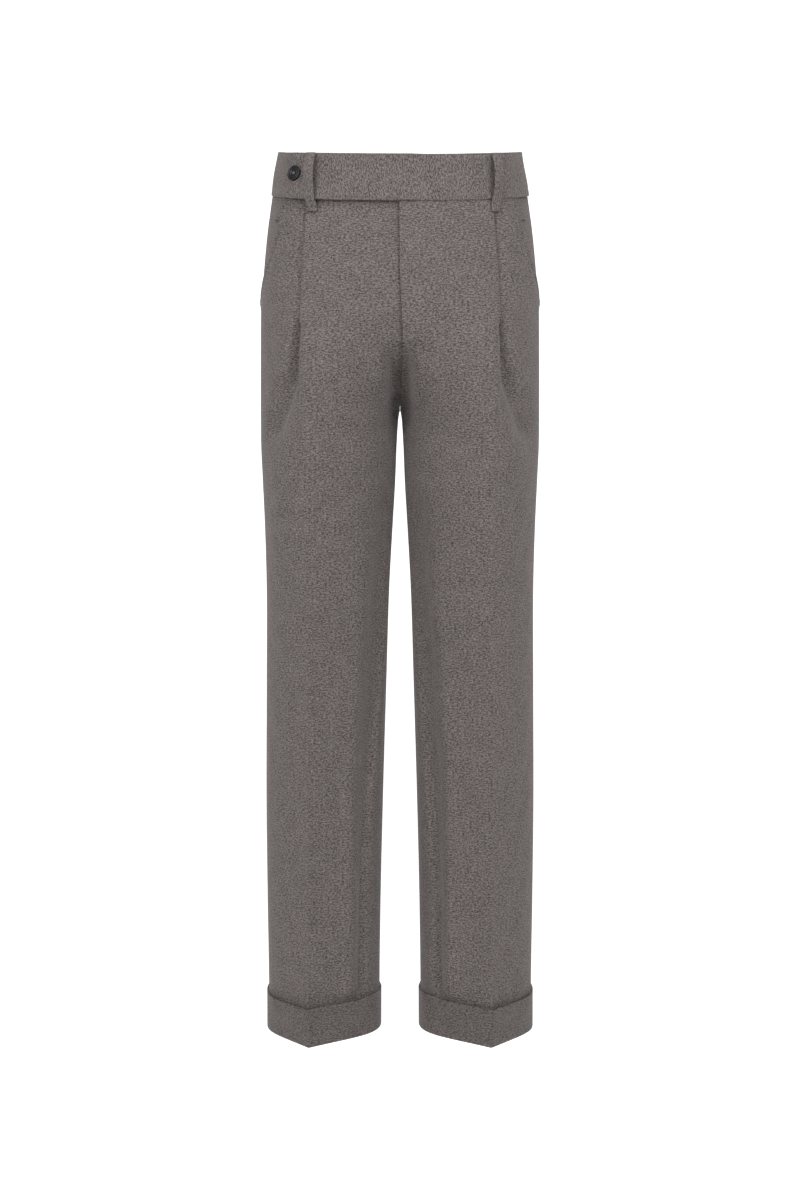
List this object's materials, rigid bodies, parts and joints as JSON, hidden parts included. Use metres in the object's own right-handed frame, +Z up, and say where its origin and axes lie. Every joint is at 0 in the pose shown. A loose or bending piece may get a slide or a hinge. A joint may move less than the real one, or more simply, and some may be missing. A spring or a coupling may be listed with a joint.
{
  "type": "pleated dress trousers",
  "caption": "Wool flannel dress trousers with pleated front, extended button tab, slant pockets, pressed creases and turn-ups, hollow as worn.",
  "frame": {"origin": "middle of the ring that the waistband makes, half way up its height at the sides, where the wearer's waist holds the trousers", "axes": "+Z up, the front faces -Y, +X is the wearer's left"},
  "size_m": [0.3326, 0.2542, 1.0715],
  "materials": {
    "flannel": "matte brushed wool flannel, grey-brown melange",
    "button": "charcoal button, satin"
  },
  "bodies": {
    "root": {"front_left": "flannel", "front_right": "flannel", "back_left": "flannel", "back_right": "flannel", "pocket_facing_left": "flannel", "pocket_facing_right": "flannel", "waistband_left": "flannel", "waistband_right": "flannel", "turn_up_left": "flannel", "turn_up_right": "flannel", "loop_front_left": "flannel", "loop_front_right": "flannel", "loop_side_back_left": "flannel", "loop_side_back_right": "flannel", "loop_middle_back": "flannel", "waist_button": "button"}
  },
  "joints": []
}
